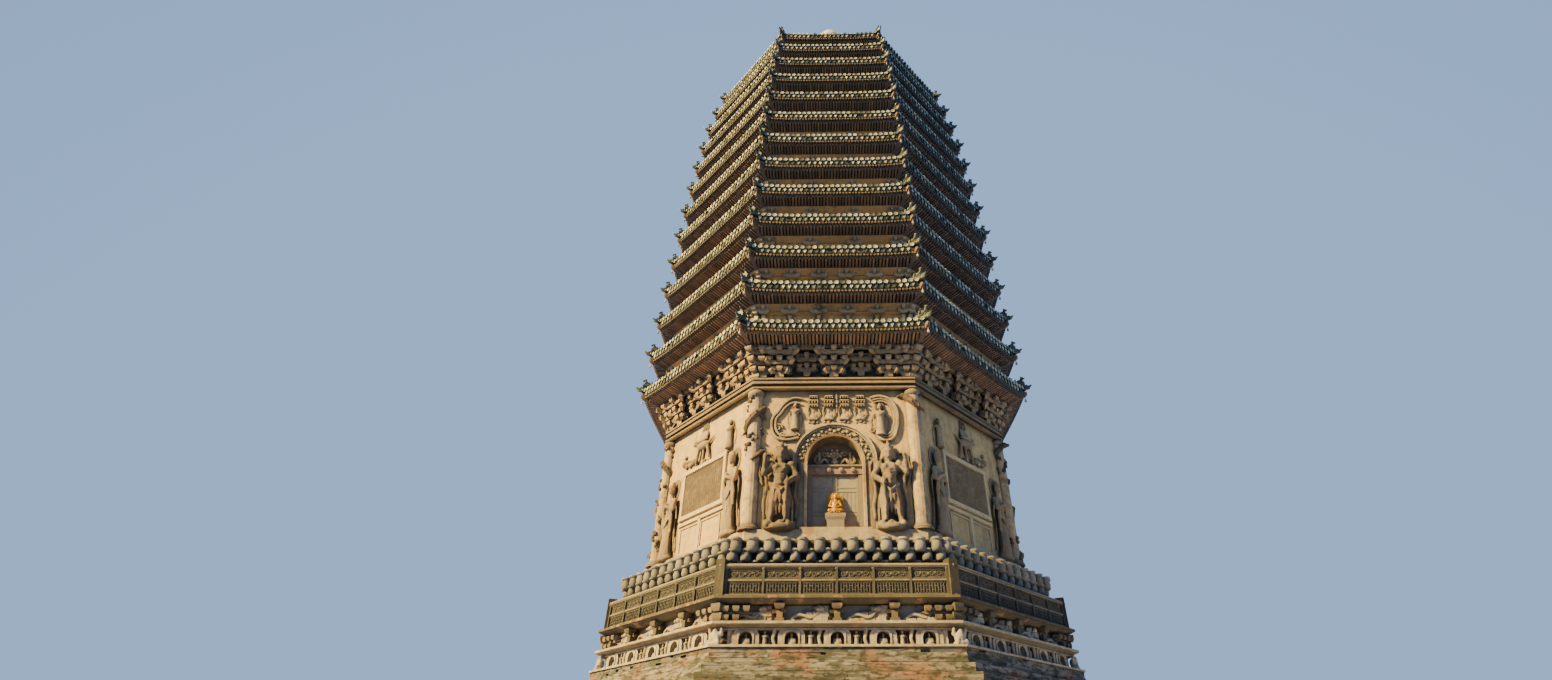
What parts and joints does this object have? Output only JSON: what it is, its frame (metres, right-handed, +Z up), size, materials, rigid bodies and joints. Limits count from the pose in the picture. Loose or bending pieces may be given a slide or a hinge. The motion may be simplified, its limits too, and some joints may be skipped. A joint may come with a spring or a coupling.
{
  "type": "octagonal multi-eave pagoda, scale model at 1:2",
  "caption": "Solid brick pagoda on a two-tier octagonal base with balcony, lotus seat, niched body, close-set tiled eaves and a jewel finial, at half the real size.",
  "frame": {"origin": "middle of the foot, on the ground", "axes": "+Z up along the tower's axis, -Y out of the front face with the figure niche, +X to the right as seen from the front"},
  "size_m": [11.4, 11.4, 28.6031],
  "materials": {
    "base_brick": "weathered brick",
    "carved_brick": "carved weathered brick",
    "wall_plaster": "lime plaster over brick",
    "stone": "dressed masonry",
    "ochre_plaster": "ochre limewash on brick",
    "glazed_tile": "green glaze, weathered",
    "finial_stone": "pale stone",
    "gilding": "gilded"
  },
  "bodies": {
    "root": {"foot_plinth": "base_brick", "lower_waist": "base_brick", "lower_cornice": "base_brick", "upper_plinth": "base_brick", "niche_band_cornice": "base_brick", "balcony_deck": "base_brick", "niche_band": "carved_brick", "balcony_bracket_band": "carved_brick", "balustrade": "carved_brick", "lotus_drum": "carved_brick", "lotus_tier_1": "carved_brick", "lotus_tier_2": "carved_brick", "lotus_tier_3": "carved_brick", "body_walls": "wall_plaster", "corner_column_1": "wall_plaster", "corner_column_2": "wall_plaster", "corner_column_3": "wall_plaster", "corner_column_4": "wall_plaster", "corner_column_5": "wall_plaster", "corner_column_6": "wall_plaster", "corner_column_7": "wall_plaster", "corner_column_8": "wall_plaster", "body_plinth": "stone", "figure_pedestal": "stone", "lintel": "stone", "main_bracket_band": "stone", "neck_02": "ochre_plaster", "neck_03": "ochre_plaster", "neck_04": "ochre_plaster", "neck_05": "ochre_plaster", "neck_06": "ochre_plaster", "neck_07": "ochre_plaster", "neck_08": "ochre_plaster", "neck_09": "ochre_plaster", "neck_10": "ochre_plaster", "neck_11": "ochre_plaster", "neck_12": "ochre_plaster", "neck_13": "ochre_plaster", "eave_01": "glazed_tile", "eave_02": "glazed_tile", "eave_03": "glazed_tile", "eave_04": "glazed_tile", "eave_05": "glazed_tile", "eave_06": "glazed_tile", "eave_07": "glazed_tile", "eave_08": "glazed_tile", "eave_09": "glazed_tile", "eave_10": "glazed_tile", "eave_11": "glazed_tile", "eave_12": "glazed_tile", "eave_13": "glazed_tile", "crown_roof": "glazed_tile", "finial_base": "finial_stone", "finial_lotus": "finial_stone", "finial_pedestal": "finial_stone", "finial_jewel": "finial_stone", "seated_figure": "gilding"}
  },
  "joints": []
}
